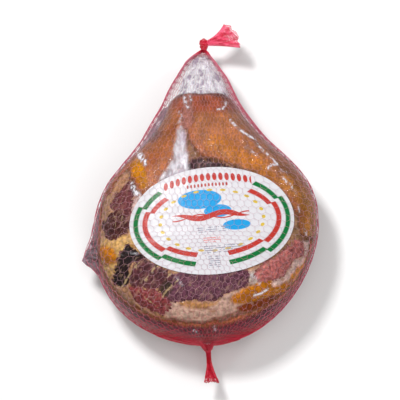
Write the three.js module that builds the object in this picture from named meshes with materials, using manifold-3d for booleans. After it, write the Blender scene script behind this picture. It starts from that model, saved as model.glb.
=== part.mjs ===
// A boned, pressed and cured ham in a clear vacuum bag, with an oval label, inside a red tubular net
// that is knotted at the shank end and gathered into a tail at the butt end.
// The ham lies on its skin side with its cut face up. Millimetres, +Z up, +Y from butt to shank,
// origin at the middle of the flat patch on which the net rests.

import * as THREE from "three";
import { mergeVertices } from "three/addons/utils/BufferGeometryUtils.js";
import Module from "manifold-3d";

const wasm = await Module();
wasm.setup();

// Facets
const AROUND = 44; // round every section
const BUTT_ROWS = 12; // from the widest section to the butt end
const SHANK_ROWS = 15; // from the widest section to the shank end

// Layers, measured outwards from the ham's surface
const BAG_INSIDE = 0.5;
const BAG_OUTSIDE = 1.0;
const LABEL_BACK = 1.4;
const LABEL_FRONT = 1.8;
const NET_INSIDE = 2.2;
const NET_OUTSIDE = 3.0;

// Ham
const WIDEST_Y = -35; // where the widest section stands
const BUTT_RADIUS = 136; // seen from above, the butt half is a half circle
const BUTT_WIDTH_POWER = 0.94; // how full the butt's corners are from above, and below in side view
const BUTT_HEIGHT_POWER = 0.5;
const BUTT_LEAN = -8; // the butt swells to the left between its widest section and its tip
const BUTT_TIP_Z = 46; // height of the butt's tip
const BUTT_TIP_ROW = 0.35; // the small flat fan at the tip takes this share of a row
const MIDDLE_Z = 58; // height of the widest line round the ham
const FOOT_DEPTH = 72; // how deep the unflattened underside would reach below the widest line
const TOP_SQUARENESS = 2.5; // superellipse exponents: 2 is an ellipse
const FOOT_SQUARENESS = 2.3;
const SHANK_EDGE = 5; // rounding of the cut shank's edge

// Sections from the widest one to the cut shank: place, middle, half width, top, middle height, depth
const SHANK_SECTIONS = [
  { y: WIDEST_Y, x: 0, half: BUTT_RADIUS, top: 127, mid: MIDDLE_Z, foot: FOOT_DEPTH },
  { y: 0, x: 1, half: 133, top: 127, mid: 58, foot: 72 },
  { y: 26, x: 2, half: 122, top: 125, mid: 58, foot: 71 },
  { y: 52, x: 2, half: 100, top: 121, mid: 58, foot: 68 },
  { y: 78, x: 0, half: 72.5, top: 115, mid: 58, foot: 62 },
  { y: 104, x: -3, half: 52.5, top: 106, mid: 57, foot: 50 },
  { y: 120, x: -5, half: 41, top: 97, mid: 56, foot: 40 },
  { y: 130, x: -6, half: 33, top: 91, mid: 56, foot: 34 },
];

// Gathered end of the bag past the shank: crumpled sections up to its mouth
const BAG_NECK = [
  { y: 141, x: -6, half: 30, up: 31, down: 29, z: 56 },
  { y: 155, x: -5, half: 25.5, up: 25, down: 23, z: 55 },
  { y: 170, x: -6, half: 20, up: 18, down: 17, z: 54 },
  { y: 182, x: -6.5, half: 14, up: 12, down: 12, z: 53 },
  { y: 190, x: -6.5, half: 8.5, up: 8, down: 8, z: 52 },
];
const BAG_NECK_WALL = 4; // the folds of film lie this thick

// Corner of the bag's side seam, which stands off the ham's left flank
const EAR_REACH = 21;
const EAR_TIP_Y = -72;
const EAR_START_Y = 18;
const EAR_END_Y = -98;
const EAR_Z = 50;
const EAR_HALF_HEIGHT = 20;

// Net: how far it stands off the shank's sides, its neck up to the knot and its gather at the butt.
// Each section is its place, middle, half width, height above and below its middle, and its height.
const STAND_START_Y = 40;
const STAND_FULL_Y = 105;
const STAND_LEFT = 11; // the bag's side seam holds the net off on this side
const STAND_RIGHT = 9;
const NET_NECK = [
  { y: 136, x: -8, half: 48, up: 39, down: 35, z: 57 },
  { y: 148, x: -8, half: 41, up: 35, down: 32, z: 56 },
  { y: 161, x: -6.5, half: 35, up: 29, down: 28, z: 55 },
  { y: 174, x: -7.5, half: 26.5, up: 23, down: 22, z: 54 },
  { y: 186, x: -8, half: 19, up: 16, down: 16, z: 53 },
  { y: 193, x: -7, half: 12.5, up: 11, down: 11, z: 52 },
  { y: 198, x: -5, half: 7.5, up: 7, down: 7, z: 52 },
  { y: 201, x: -4.5, half: 5, up: 5, down: 5, z: 52 },
];
const NET_WALL = NET_OUTSIDE - NET_INSIDE;
const MERGE_DISTANCE = 1e-4;
const GATHER = { y: -180, x: 1, half: 5.5, up: 5.5, down: 5.5, z: 44 };
const END_PASS = 1; // how far a hollow is cut beyond an open end

// Label
const LABEL_LENGTH = 206;
const LABEL_WIDTH = 136;
const LABEL_X = 7;
const LABEL_Y = -34;
const LABEL_TURN = THREE.MathUtils.degToRad(-4);
const LABEL_EDGES = 64;

// Knot and tails, each a run of round or flattened sections along a line of points
const KNOT_SIDES = 14;
const TOP_TAIL_SIDES = 16;
const BOTTOM_TAIL_SIDES = 14;
const KNOT_SECTIONS = [
  { at: [-4.5, 201.4, 52], half: 4.8, thick: 4.8 },
  { at: [-4.5, 204, 52], half: 4.4, thick: 4.6 },
  { at: [-4.2, 207, 52.5], half: 5.4, thick: 5.4 },
  { at: [-3.9, 210.5, 53], half: 6, thick: 6 },
  { at: [-3.7, 214, 53], half: 5.3, thick: 5.4 },
  { at: [-3.6, 217, 53], half: 3.3, thick: 3.4 },
];
const TOP_TAIL_SECTIONS = [
  { at: [2.8, 210.8, 53.4], half: 4, thick: 4 },
  { at: [9.5, 211.9, 54.6], half: 7, thick: 5.4 },
  { at: [17.5, 213.8, 55.8], half: 10.4, thick: 6.8 },
  { at: [26, 216.4, 56.8], half: 13.5, thick: 8 },
  { at: [34.4, 219.5, 57.4], half: 16, thick: 8.8 },
];
const BOTTOM_TAIL_SECTIONS = [
  { at: [1, -180.4, 44], half: 5.2, thick: 5.2 },
  { at: [1, -184, 44], half: 5, thick: 5 },
  { at: [1.6, -190, 42.8], half: 4.6, thick: 4.6 },
  { at: [3, -200, 40.6], half: 4.6, thick: 4.4 },
  { at: [4.6, -210, 38.6], half: 5.2, thick: 4.8 },
  { at: [6, -219, 36.8], half: 6.4, thick: 5.2 },
];

const SLOTS = {
  meat: { color: 0x8a3f2c, roughness: 0.45, metalness: 0 },
  film: { color: 0xe9e6ec, roughness: 0.12, metalness: 0 },
  paper: { color: 0xf4f4f0, roughness: 0.4, metalness: 0 },
  net: { color: 0xd9203a, roughness: 0.5, metalness: 0 },
};

const clamp01 = (t) => Math.min(1, Math.max(0, t));
const smooth = (t) => clamp01(t) ** 2 * (3 - 2 * clamp01(t));
const power = (value, exponent) => Math.sign(value) * Math.abs(value) ** exponent;

// A smooth line through the named values of a list of sections, read at any y.
function valuesAlong(sections, keys) {
  const places = sections.map((s) => s.y);
  const values = sections.flatMap((s) => keys.map((k) => s[k]));
  const line = new THREE.CubicInterpolant(places, values, keys.length, new Float32Array(keys.length));
  return (y) => {
    const found = line.evaluate(y);
    return Object.fromEntries(keys.map((k, i) => [k, found[i]]));
  };
}

// One section of the ham, in a plane across Y. Its underside runs on below the flat it rests on.
function hamSection({ y, x, half, top, mid, foot }) {
  const ring = [];
  for (let i = 0; i < AROUND; i += 1) {
    const turn = (i / AROUND) * 2 * Math.PI;
    const upper = Math.sin(turn) >= 0;
    const squareness = upper ? TOP_SQUARENESS : FOOT_SQUARENESS;
    const across = power(Math.cos(turn), 2 / squareness);
    const rise = power(Math.sin(turn), 2 / squareness) * (upper ? top - mid : foot);
    ring.push(new THREE.Vector3(x + half * across, y, mid + rise + NET_OUTSIDE));
  }
  return ring;
}

// The ham's sections from the butt's tip to the rounded edge of the cut shank.
function hamSections() {
  const rings = [];
  const widest = SHANK_SECTIONS[0];
  for (let i = BUTT_ROWS; i > 0; i -= 1) {
    const turn = (i / (BUTT_ROWS + BUTT_TIP_ROW)) * (Math.PI / 2);
    const wide = Math.cos(turn);
    const high = wide ** BUTT_HEIGHT_POWER;
    const mid = THREE.MathUtils.lerp(widest.mid, BUTT_TIP_Z, 1 - high);
    rings.push(
      hamSection({
        y: WIDEST_Y - BUTT_RADIUS * Math.sin(turn),
        x: BUTT_LEAN * Math.sin(2 * turn),
        half: BUTT_RADIUS * wide ** BUTT_WIDTH_POWER,
        top: mid + (widest.top - widest.mid) * high,
        mid,
        foot: widest.foot * high,
      }),
    );
  }
  const last = SHANK_SECTIONS.at(-1);
  const along = valuesAlong(SHANK_SECTIONS, ["x", "half", "top", "mid", "foot"]);
  for (let i = 0; i <= SHANK_ROWS; i += 1) {
    const y = THREE.MathUtils.lerp(WIDEST_Y, last.y, i / SHANK_ROWS);
    rings.push(hamSection({ y, ...along(y) }));
  }
  return rings;
}

// The cut shank closes over a rounded edge with one smaller section.
function shankEnd() {
  const last = SHANK_SECTIONS.at(-1);
  return hamSection({
    y: last.y + SHANK_EDGE,
    x: last.x,
    half: last.half - SHANK_EDGE,
    top: last.top - SHANK_EDGE,
    mid: last.mid,
    foot: last.foot - SHANK_EDGE,
  });
}

// A flattened round section in a plane across Y, with the ham's count of points.
function neckSection({ y, x, half, up, down, z }, grow = 0) {
  const ring = [];
  for (let i = 0; i < AROUND; i += 1) {
    const turn = (i / AROUND) * 2 * Math.PI;
    const tall = Math.sin(turn) >= 0 ? up : down;
    ring.push(
      new THREE.Vector3(
        x + (half + grow) * Math.cos(turn),
        y,
        z + (tall + grow) * Math.sin(turn),
      ),
    );
  }
  return ring;
}

// A closed body over a run of sections, whose ends are closed by flat fans.
function bodyOver(rings) {
  const count = rings[0].length;
  const points = rings.flat();
  const faces = [];
  for (let row = 0; row < rings.length - 1; row += 1) {
    for (let i = 0; i < count; i += 1) {
      const j = (i + 1) % count;
      const [a, b] = [row * count + i, row * count + j];
      const [c, d] = [b + count, a + count];
      faces.push(a, c, b, a, d, c);
    }
  }
  for (const [ring, row] of [
    [rings[0], 0],
    [rings.at(-1), rings.length - 1],
  ]) {
    const middle = ring.reduce((sum, p) => sum.add(p), new THREE.Vector3()).divideScalar(count);
    const centre = points.push(middle) - 1;
    for (let i = 0; i < count; i += 1) {
      const [a, b] = [row * count + i, row * count + ((i + 1) % count)];
      faces.push(...(row === 0 ? [centre, a, b] : [centre, b, a]));
    }
  }
  const geometry = new THREE.BufferGeometry().setFromPoints(points);
  geometry.setIndex(faces);
  geometry.computeVertexNormals();
  return geometry;
}

// The ham's own sections moved outwards along the surface's normals.
const HAM_RINGS = [...hamSections(), shankEnd()];
function ringsOutFromHam(distance) {
  const normals = bodyOver(HAM_RINGS).getAttribute("normal");
  return HAM_RINGS.map((ring, row) =>
    ring.map((point, i) => {
      const normal = new THREE.Vector3().fromBufferAttribute(normals, row * AROUND + i);
      return point.clone().addScaledVector(normal, distance);
    }),
  );
}

// How far the bag's corner pushes a point of the left flank outwards.
function earPush(point) {
  if (point.x > 0) return 0;
  const along =
    point.y > EAR_TIP_Y
      ? (EAR_START_Y - point.y) / (EAR_START_Y - EAR_TIP_Y)
      : (point.y - EAR_END_Y) / (EAR_TIP_Y - EAR_END_Y);
  const high = ((point.z - EAR_Z) / EAR_HALF_HEIGHT) ** 2;
  return EAR_REACH * smooth(along) * Math.exp(-high);
}
const withEar = (rings) =>
  rings.map((ring, row) =>
    ring.map((p, i) => new THREE.Vector3(p.x - earPush(HAM_RINGS[row][i]), p.y, p.z)),
  );

// The taut net stands off the shank's sides and lies on its top and underside.
function withStand(rings) {
  const last = SHANK_SECTIONS.at(-1);
  return rings.map((ring) => {
    const [right, left] = [ring[0], ring[AROUND / 2]];
    const middle = (left.x + right.x) / 2;
    const half = (right.x - left.x) / 2;
    const past = right.y - STAND_START_Y;
    const standLeft = STAND_LEFT * smooth(past / (STAND_FULL_Y - STAND_START_Y));
    const standRight = STAND_RIGHT * clamp01(past / (last.y - STAND_START_Y)) ** 2;
    return ring.map((p) => {
      const side = (p.x - middle) / half;
      const stand = side > 0 ? standRight : -standLeft;
      return new THREE.Vector3(p.x + stand * side ** 2, p.y, p.z);
    });
  });
}

// The net draws in from the butt to a small round gather.
const gatherRing = (past, grow = 0) => neckSection({ ...GATHER, y: GATHER.y - past }, grow);

// A hollow runs on a little beyond the end it opens at.
const pastEnd = (sections) => ({ ...sections.at(-1), y: sections.at(-1).y + END_PASS });

// A run of flattened round sections that faces along its own line of points.
function tube(sections, sides) {
  const places = sections.map((s) => new THREE.Vector3(...s.at));
  const rings = sections.map(({ half, thick }, row) => {
    const before = places[Math.max(row - 1, 0)];
    const after = places[Math.min(row + 1, places.length - 1)];
    const ahead = after.clone().sub(before).normalize();
    const aside = new THREE.Vector3(ahead.y, -ahead.x, 0).normalize();
    const upwards = new THREE.Vector3().crossVectors(aside, ahead);
    return Array.from({ length: sides }, (_, i) => {
      const turn = (i / sides) * 2 * Math.PI;
      return places[row]
        .clone()
        .addScaledVector(aside, half * Math.cos(turn))
        .addScaledVector(upwards, thick * Math.sin(turn));
    });
  });
  return bodyOver(rings);
}

// manifold-3d solids, for joins and cuts, and back.
function solidFrom(geometry) {
  const bare = new THREE.BufferGeometry();
  bare.setAttribute("position", geometry.getAttribute("position"));
  bare.setIndex(geometry.getIndex());
  const merged = mergeVertices(bare, MERGE_DISTANCE);
  return new wasm.Manifold(
    new wasm.Mesh({
      numProp: 3,
      vertProperties: merged.getAttribute("position").array,
      triVerts: new Uint32Array(merged.index.array),
    }),
  );
}
function geometryFrom(solid) {
  const mesh = solid.getMesh();
  const geometry = new THREE.BufferGeometry();
  geometry.setAttribute("position", new THREE.BufferAttribute(mesh.vertProperties, 3));
  geometry.setIndex(new THREE.BufferAttribute(mesh.triVerts, 1));
  return geometry;
}

// A solid over sections that lie a distance out from the ham, cut flat where it rests.
const layerSolid = (rings, distance) =>
  solidFrom(bodyOver(rings)).trimByPlane([0, 0, 1], NET_OUTSIDE - distance);

// The label is the part of a thin layer over the cut face that an upright oval cuts out.
function labelGeometry() {
  const layer = layerSolid(ringsOutFromHam(LABEL_FRONT), LABEL_FRONT).subtract(
    layerSolid(ringsOutFromHam(LABEL_BACK), LABEL_BACK),
  );
  const oval = new THREE.Shape();
  oval.absellipse(0, 0, LABEL_LENGTH / 2, LABEL_WIDTH / 2, 0, 2 * Math.PI);
  const cutter = new THREE.ExtrudeGeometry(oval, {
    depth: MIDDLE_Z * 2,
    bevelEnabled: false,
    curveSegments: LABEL_EDGES / 4,
  });
  cutter.rotateZ(LABEL_TURN);
  cutter.translate(LABEL_X, LABEL_Y, MIDDLE_Z);
  return geometryFrom(layer.intersect(solidFrom(cutter)));
}

// The bag follows the ham and ends in a gathered neck that is open at its mouth.
function bagGeometry() {
  const outside = withEar(ringsOutFromHam(BAG_OUTSIDE).slice(0, -1));
  const neck = BAG_NECK.map((section) => neckSection(section));
  const hollowNeck = BAG_NECK.map((section) => neckSection(section, -BAG_NECK_WALL));
  const mouth = neckSection(pastEnd(BAG_NECK), -BAG_NECK_WALL);
  const hollow = layerSolid([...ringsOutFromHam(BAG_INSIDE), ...hollowNeck, mouth], BAG_INSIDE);
  return geometryFrom(layerSolid([...outside, ...neck], BAG_OUTSIDE).subtract(hollow));
}

// The net is a sleeve, open at the gather and at the knot, where the two tails take over.
function netGeometry() {
  const skin = (distance) => withStand(withEar(ringsOutFromHam(distance).slice(0, -1)));
  const neck = NET_NECK.map((section) => neckSection(section));
  const hollowNeck = [...NET_NECK, pastEnd(NET_NECK)].map((s) => neckSection(s, -NET_WALL));
  const whole = layerSolid([gatherRing(0), ...skin(NET_OUTSIDE), ...neck], NET_OUTSIDE);
  const hollow = layerSolid(
    [
      gatherRing(END_PASS, -NET_WALL),
      gatherRing(0, -NET_WALL),
      ...skin(NET_INSIDE),
      ...hollowNeck,
    ],
    NET_INSIDE,
  );
  return geometryFrom(whole.subtract(hollow));
}

const group = new THREE.Group();
function addNode(name, slot, geometry) {
  const mesh = new THREE.Mesh(geometry, new THREE.MeshStandardMaterial(SLOTS[slot]));
  mesh.name = name;
  group.add(mesh);
}

addNode("ham", "meat", geometryFrom(layerSolid(HAM_RINGS, 0)));
addNode("vacuum_bag", "film", bagGeometry());
addNode("label", "paper", labelGeometry());
addNode("net_sleeve", "net", netGeometry());
addNode("net_top_knot", "net", tube(KNOT_SECTIONS, KNOT_SIDES));
addNode("net_top_tail", "net", tube(TOP_TAIL_SECTIONS, TOP_TAIL_SIDES));
addNode("net_bottom_tail", "net", tube(BOTTOM_TAIL_SECTIONS, BOTTOM_TAIL_SIDES));

export default group;
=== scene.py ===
"""A boned and pressed cured ham in a clear bag with an oval label, inside a knitted red net.

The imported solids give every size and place, and each piece below stands for one of them: the ham
with its rind, fat and lean meat; the clear bag, its crumpled neck and its side seam; the label;
the net with its knot and tails. Shapes are worked out in millimetres and stored in metres.
"""

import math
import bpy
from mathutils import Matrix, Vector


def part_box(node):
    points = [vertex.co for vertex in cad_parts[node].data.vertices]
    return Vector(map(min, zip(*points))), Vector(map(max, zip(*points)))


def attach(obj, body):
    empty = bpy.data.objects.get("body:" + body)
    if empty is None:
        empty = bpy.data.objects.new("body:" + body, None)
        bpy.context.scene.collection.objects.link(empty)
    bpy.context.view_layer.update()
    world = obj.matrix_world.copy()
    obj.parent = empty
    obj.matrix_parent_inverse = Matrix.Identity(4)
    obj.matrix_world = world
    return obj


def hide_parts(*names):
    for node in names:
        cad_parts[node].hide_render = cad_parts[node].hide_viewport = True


bl_info = {
    "name": "Cured ham in a net",
    "version": (1, 0, 0),
    "blender": (4, 5, 0),
    "location": "3D View > Sidebar > Ham",
    "description": "Builds a boned cured ham in its clear bag, label and knitted net",
    "category": "Add Mesh",
}

import bmesh
import bpy
import numpy as np
from bpy.props import FloatProperty, FloatVectorProperty, IntProperty, PointerProperty
from bpy.types import Operator, Panel, PropertyGroup
from mathutils import Vector, noise
from mathutils.bvhtree import BVHTree
from mathutils.kdtree import KDTree

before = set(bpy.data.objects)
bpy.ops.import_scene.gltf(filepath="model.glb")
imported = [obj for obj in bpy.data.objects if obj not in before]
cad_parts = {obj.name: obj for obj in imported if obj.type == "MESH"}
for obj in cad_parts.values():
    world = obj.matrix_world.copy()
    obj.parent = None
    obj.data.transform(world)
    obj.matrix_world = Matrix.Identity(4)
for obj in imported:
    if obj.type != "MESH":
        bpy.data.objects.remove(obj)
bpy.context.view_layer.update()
MM = 0.001
BODY = "root"


def node_box(name):
    """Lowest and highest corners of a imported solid, in millimetres."""
    low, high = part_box(name)
    return np.array(low) / MM, np.array(high) / MM


HAM_HIGH = node_box("ham")[1]
NET_LOW, NET_HIGH = node_box("net_sleeve")
BAG_HIGH = node_box("vacuum_bag")[1]
LABEL_LOW, LABEL_HIGH = node_box("label")
KNOT_LOW, KNOT_HIGH = node_box("net_top_knot")
BOTTOM_TAIL_LOW, BOTTOM_TAIL_HIGH = node_box("net_bottom_tail")

# The cut face is drawn in plan as it is seen from a little towards the butt, so that a point lower
# down moves along Y by this share of its depth below the face.
FACE_Z = 118.0
PLAN_TILT = math.tan(math.radians(12))
RIM_Z = 84.0  # below about this height the ham is rind all round
UNDERSIDE_RIND_AND_SHADE = np.array((0.25, 0.07, 0.04))  # colour of the rind on the sides and underneath, darkened there as painted shade

# Outline of the cut face, anticlockwise from the top of the fold between the two flaps of rind
CUT_FACE = [
    (-34, 80), (-38, 58), (-44, 38), (-52, 22), (-64, 8), (-76, 0), (-86, 4), (-91, 18), (-96, 32),
    (-106, 24), (-119, 8), (-129, -8), (-135, -28), (-138, -50), (-139, -72), (-137, -90),
    (-128, -107), (-113, -121), (-93, -136), (-70, -149), (-44, -157), (-14, -160), (16, -157),
    (42, -149), (70, -138), (94, -122), (110, -106), (122, -89), (130, -72), (133, -59), (117, -55),
    (114, -42), (111, -28), (104, -14), (93, 1), (78, 15), (60, 27), (40, 36), (23, 42), (8, 45),
    (-6, 50), (-16, 60), (-22, 72), (-26, 82),
]

# Patches of colour on each kind of surface: colour, soft edge in mm, lift in mm, outline
RIND_PATCHES = [
    ((0.42, 0.165, 0.070), 14, 1.2, [
        (-14, 122), (28, 118), (48, 98), (78, 62), (108, 28), (128, -8), (136, -40), (120, -50),
        (112, -20), (92, 6), (62, 28), (26, 44), (-2, 60), (-18, 82),
    ]),
    ((0.50, 0.19, 0.045), 10, 0.4, [
        (-4, 60), (22, 46), (58, 32), (84, 16), (70, 40), (40, 58), (14, 74),
    ]),
    ((0.52, 0.22, 0.055), 10, 0.0, [
        (88, 14), (104, 0), (116, -26), (122, -50), (136, -52), (134, -20), (118, 8), (100, 26),
    ]),
    ((0.36, 0.095, 0.048), 12, 0.0, [
        (-44, 134), (30, 134), (42, 112), (24, 104), (-12, 104), (-50, 104),
    ]),
    ((0.15, 0.045, 0.028), 3, 0.0, [
        (-60, 124), (-20, 125.5), (30, 123), (60, 116), (60, 160), (-60, 160),
    ]),
    ((0.385, 0.135, 0.050), 12, 1.0, [
        (-40, 110), (-34, 84), (-42, 52), (-56, 26), (-74, 6), (-86, 12), (-92, 34), (-74, 68),
        (-58, 96),
    ]),
    ((0.62, 0.25, 0.008), 5, 0.0, [
        (-96, 40), (-86, 46), (-76, 34), (-74, 12), (-84, 12), (-92, 30),
    ]),
    ((0.22, 0.07, 0.045), 3, 0.0, [(-72, 78), (-63, 86), (-56, 76), (-62, 70), (-70, 66)]),
    ((0.40, 0.17, 0.13), 3, -3.5, [
        (-29, 129), (-20, 129), (-16, 112), (-17, 98), (-21, 86), (-28, 80), (-33, 84), (-33, 100),
        (-30, 114),
    ]),
    # Painted shadow along the lower edge of the right flap
    ((0.20, 0.08, 0.04), 2.5, 0.0, [
        (96, -50), (112, -49), (132, -54), (133, -58), (118, -56), (100, -54),
    ]),
    # The rind low round the butt, darkened by the dense net and by painted shade
    ((0.13, 0.03, 0.045), 8, 0.0, [
        (-140, -92), (-112, -126), (-70, -153), (-14, -164), (44, -154), (96, -126), (132, -76),
        (150, -90), (110, -160), (0, -200), (-120, -160), (-160, -90),
    ]),
]
FAT_PATCHES = [
    ((0.70, 0.44, 0.17), 6, 0.6, [
        (-140, -62), (-122, -56), (-96, -50), (-84, -62), (-74, -76), (-96, -74), (-112, -96),
        (-124, -112), (-138, -92),
    ]),
    ((0.60, 0.21, 0.008), 5, 1.6, [
        (-134, -70), (-124, -65), (-112, -72), (-113, -84), (-128, -88),
    ]),
    ((0.46, 0.26, 0.15), 5, 0.0, [
        (-128, -6), (-116, 6), (-112, -8), (-120, -26), (-130, -34), (-138, -44), (-136, -24),
    ]),
    ((0.64, 0.44, 0.40), 4, 0.4, [
        (-96, 4), (-86, 2), (-82, -12), (-88, -34), (-96, -42), (-97, -14),
    ]),
    ((0.24, 0.115, 0.055), 6, -1.5, [
        (-26, 78), (-14, 68), (-4, 56), (10, 47), (26, 41), (8, 41), (-20, 38), (-26, 52),
    ]),
    # Under the film's fold: lilac white on the meat, the fold's painted highlight
    ((0.56, 0.46, 0.55), 4, -2.5, [
        (-35, 80), (-27, 80), (-26, 60), (-23, 42), (-24, 24), (-56, 20), (-46, 34), (-40, 52),
    ]),
    ((0.60, 0.40, 0.31), 6, 0.4, [
        (-52, -136), (-24, -133), (4, -133), (20, -126), (38, -117), (48, -122), (44, -138),
        (24, -152), (-10, -160), (-46, -156),
    ]),
    ((0.50, 0.25, 0.10), 5, 0.3, [(-34, -134), (4, -133), (16, -130), (0, -140), (-24, -142)]),
    ((0.33, 0.17, 0.12), 4, -0.8, [
        (-44, -154), (0, -154), (40, -142), (44, -149), (0, -163), (-46, -160),
    ]),
    ((0.52, 0.175, 0.005), 4, 2.4, [
        (28, -131), (40, -119), (56, -111), (76, -107), (96, -110), (106, -112), (94, -121),
        (72, -127), (50, -134),
    ]),
    # Brown underside of the fat roll, partly painted shade
    ((0.24, 0.045, 0.006), 4, -1.0, [
        (36, -138), (58, -132), (82, -124), (106, -116), (96, -126), (72, -138), (46, -146),
    ]),
    ((0.82, 0.60, 0.53), 4, 0.8, [
        (118, -57), (130, -58), (126, -74), (112, -90), (102, -104), (86, -112), (78, -110),
        (98, -97), (108, -84), (117, -74),
    ]),
    ((0.72, 0.29, 0.05), 4, 0.4, [
        (122, -76), (128, -72), (118, -92), (106, -107), (101, -104), (112, -90),
    ]),
    ((0.66, 0.52, 0.44), 2.5, 0.8, [(48, -97), (58, -94), (62, -104), (58, -111), (50, -106)]),
    ((0.36, 0.20, 0.11), 6, 0.0, [
        (98, 2), (112, -20), (116, -52), (106, -54), (100, -30), (92, -8),
    ]),
]
LEAN_PATCHES = [
    ((0.17, 0.048, 0.052), 5, -0.8, [
        (-93, 24), (-103, 14), (-118, 0), (-122, -12), (-114, -22), (-98, -46), (-94, -40),
        (-95, -14), (-90, 4), (-88, 14),
    ]),
    ((0.070, 0.017, 0.016), 5, -0.5, [
        (-112, -18), (-128, -30), (-132, -42), (-127, -54), (-116, -57), (-104, -50), (-96, -47),
        (-98, -30),
    ]),
    ((0.014, 0.006, 0.006), 3, -2.2, [
        (-98, -60), (-90, -66), (-78, -74), (-76, -80), (-86, -83), (-93, -84), (-96, -93),
        (-92, -104), (-96, -111), (-105, -115), (-114, -112), (-115, -94), (-110, -80), (-104, -68),
    ]),
    ((0.105, 0.030, 0.036), 5, 0.0, [
        (-86, -82), (-78, -78), (-58, -88), (-38, -100), (-36, -112), (-46, -122), (-60, -118),
        (-76, -116), (-92, -112), (-96, -100),
    ]),
    ((0.29, 0.060, 0.062), 5, -0.4, [
        (-96, -114), (-78, -117), (-60, -119), (-47, -128), (-44, -140), (-54, -149), (-72, -144),
        (-88, -133),
    ]),
    ((0.05, 0.028, 0.018), 3, -1.2, [
        (-60, -116), (-47, -104), (-40, -108), (-44, -124), (-54, -126),
    ]),
    ((0.145, 0.050, 0.078), 8, 0.4, [
        (-42, -98), (0, -90), (50, -92), (50, -106), (44, -115), (28, -121), (12, -129), (0, -131),
        (-22, -132), (-42, -134), (-47, -126), (-41, -112),
    ]),
    ((0.56, 0.18, 0.165), 6, 0.6, [
        (60, -94), (76, -80), (92, -70), (104, -58), (117, -57), (118, -74), (107, -83), (99, -95),
        (90, -104), (76, -108), (61, -108), (57, -101),
    ]),
    ((0.045, 0.014, 0.018), 3, -3.0, [
        (-24, 28), (-24, 40), (-20, 46), (-8, 48), (8, 46), (22, 40), (46, 32), (40, 22), (0, 24),
    ]),
    ((0.18, 0.06, 0.07), 6, 0.0, [
        (-90, -30), (-80, -60), (-50, -84), (0, -92), (60, -86), (92, -62), (104, -36), (92, -10),
        (60, 14), (20, 26), (-20, 24), (-60, 2),
    ]),
]

# Pale sinews across the lean meat: strength, half width in mm, line
SINEWS = [
    (0.8, 1.2, [(-75, -108), (-66, -96), (-55, -84)]),
    (0.8, 1.3, [(-56, -128), (-46, -116), (-34, -103)]),
    (0.7, 1.0, [(-60, -113), (-50, -102), (-42, -94)]),
    (0.8, 1.4, [(-108, -118), (-99, -104), (-92, -92), (-80, -82)]),
    (0.6, 0.9, [(-88, -84), (-84, -96), (-78, -110)]),
    (0.6, 1.0, [(-118, -20), (-112, -32), (-114, -44)]),
    (0.5, 0.9, [(-106, -2), (-104, -20), (-106, -38)]),
    (0.5, 0.9, [(-18, -94), (-22, -110), (-20, -124)]),
    (0.5, 0.9, [(14, -94), (12, -108), (18, -118)]),
    (0.5, 0.8, [(70, -84), (82, -90), (92, -88)]),
    (0.6, 0.9, [(-84, -120), (-70, -132), (-60, -140)]),
]

# Painted highlights where the film over the ham is creased: strength, half width in mm, line
CREASE_HIGHLIGHTS = [
    (0.85, 1.6, [(-28, 124), (-27, 117), (-24, 111)]),
    (0.40, 1.6, [(-34, 104), (-31, 98), (-34, 90)]),
    (0.75, 1.3, [(-21, 126), (-20, 118)]),
    (0.85, 1.4, [(28, 92), (35, 84), (46, 75), (58, 68)]),
    (0.75, 1.3, [(61, 62), (70, 52), (79, 44), (83, 38)]),
    (0.85, 1.3, [(73, 32), (79, 36), (86, 37)]),
    (0.45, 1.2, [(88, 30), (96, 27)]),
    (0.80, 1.1, [(92, 20), (98, 13)]),
    (0.70, 1.1, [(47, 60), (55, 52), (60, 49)]),
    (0.60, 1.0, [(72, 66), (79, 59)]),
    (0.55, 1.0, [(110, -14), (113, -22)]),
    (0.75, 1.3, [(13, 106), (19, 107), (22, 112), (23, 117)]),
    (1.60, 2.6, [(-86, 53), (-80, 46), (-75, 39)]),
    (1.50, 2.1, [(-93, 13), (-88, 5), (-83, -3)]),
    (0.60, 1.2, [(101, 12), (105, 6), (108, 2)]),
    (0.80, 1.6, [(-16, -168), (-13, -172)]),
    (0.45, 1.4, [(9, -163), (10, -168)]),
    (0.80, 1.3, [(56, -124), (64, -122), (72, -117)]),
    (0.65, 1.5, [(53, -99), (58, -104), (63, -110)]),
    (0.45, 1.4, [(119, -44), (121, -50)]),
    (0.35, 1.2, [(-38, -102), (-30, -112)]),
    (0.30, 1.0, [(-98, -70), (-84, -74)]),
]
# Outline of the film's fold over the groove, painted white as its highlight
FOLD_HIGHLIGHT = [
    (-36, 84), (-30, 84), (-27, 62), (-24, 44), (-24, 28), (-34, 26), (-58, 18), (-48, 34),
    (-42, 46), (-40, 62),
]


# ---- settings -----------------------------------------------------------------------------------


class HamSettings(PropertyGroup):
    """The meat."""

    rind: FloatVectorProperty(
        name="Rind", description="Colour of the rind away from its patches",
        subtype="COLOR", size=3, default=(0.40, 0.135, 0.06), min=0, max=1,
    )
    fat: FloatVectorProperty(
        name="Fat", description="Colour of the fat away from its patches",
        subtype="COLOR", size=3, default=(0.50, 0.27, 0.15), min=0, max=1,
    )
    lean: FloatVectorProperty(
        name="Lean", description="Colour of the lean meat away from its patches",
        subtype="COLOR", size=3, default=(0.15, 0.045, 0.05), min=0, max=1,
    )
    flap_step: FloatProperty(
        name="Flap step", description="How far the flaps of rind stand above the cut face",
        subtype="DISTANCE", default=4.2 * MM, min=0, max=0.01,
    )


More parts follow.
